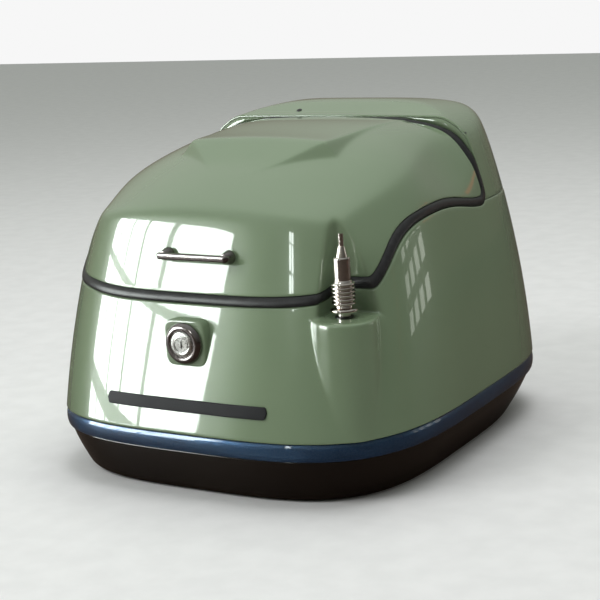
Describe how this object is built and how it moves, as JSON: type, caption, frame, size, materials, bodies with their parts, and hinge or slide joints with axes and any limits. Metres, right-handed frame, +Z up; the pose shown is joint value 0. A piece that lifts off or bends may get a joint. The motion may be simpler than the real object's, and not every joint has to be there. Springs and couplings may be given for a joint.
{
  "type": "motorcycle top case",
  "caption": "Lidded luggage case with a round-cornered tapering shell, a rear-hinged sculpted lid, a key lock in front, a pull handle, a rear arch and a corner post with an antenna socket.",
  "frame": {"origin": "centre of the underside of the base, midway between the sides and between the widest front and rear points of the shell", "axes": "+Z up, -Y out of the lock face, +Y towards the rider, +X to the right of the lock"},
  "size_m": [0.4163, 0.4839, 0.348],
  "materials": {
    "green_gloss": "high gloss paint",
    "black_gloss": "high gloss",
    "blue_metallic": "metallic gloss",
    "rubber_black": "semi-matt",
    "liner_grey": "needle felt",
    "inner_black": "fine texture",
    "dark_chrome": "smoked chrome",
    "bright_nickel": "bright nickel plate",
    "lock_silver": "satin",
    "steel_zinc": "zinc plated",
    "hinge_black": "black satin",
    "badge_dark": "gloss",
    "cable_black": "matt"
  },
  "bodies": {
    "case": {"base_tray": "black_gloss", "belt_trim": "blue_metallic", "body_shell": "green_gloss", "arch_cover": "green_gloss", "rear_bulkhead": "inner_black", "hinge_body_leaves": "hinge_black", "hinge_pins": "steel_zinc", "hinge_body_screws": "steel_zinc", "lock_bezel": "dark_chrome", "lock_nut": "steel_zinc", "shell_screws": "steel_zinc", "shell_nuts": "steel_zinc", "arch_screws": "steel_zinc", "antenna_gasket": "rubber_black", "antenna_foot": "bright_nickel", "antenna_barrel": "bright_nickel", "antenna_neck": "bright_nickel", "antenna_tip": "bright_nickel", "antenna_nut": "steel_zinc", "antenna_cable": "cable_black", "cable_grommet": "rubber_black", "badge_bar": "badge_dark", "foot_ring": "inner_black", "floor_mat": "liner_grey", "mounting_plate": "steel_zinc"},
    "lid": {"lid_shell": "green_gloss", "lid_liner": "liner_grey", "lid_seal": "rubber_black", "hinge_lid_leaves": "hinge_black", "hinge_lid_screws": "steel_zinc", "lid_striker": "steel_zinc", "striker_screws": "steel_zinc", "pull_handle": "dark_chrome", "handle_screws": "steel_zinc"},
    "button": {"lock_button": "lock_silver"},
    "key_plug": {"lock_plug": "lock_silver", "lock_cam": "steel_zinc", "cam_screw": "steel_zinc"}
  },
  "joints": [
    {"name": "lid_hinge", "type": "hinge", "parent": "case", "child": "lid", "pos_m": [0, 0.0788, 0.3265], "axis": [-1, 0, 0], "range_deg": [0, 75]},
    {"name": "lock_push", "type": "slide", "parent": "case", "child": "button", "axis": [0, 1, 0], "range_m": [0, 0.0025]},
    {"name": "key_turn", "type": "hinge", "parent": "button", "child": "key_plug", "pos_m": [0, -0.188, 0.149], "axis": [0, 1, 0], "range_deg": [0, 90]}
  ]
}
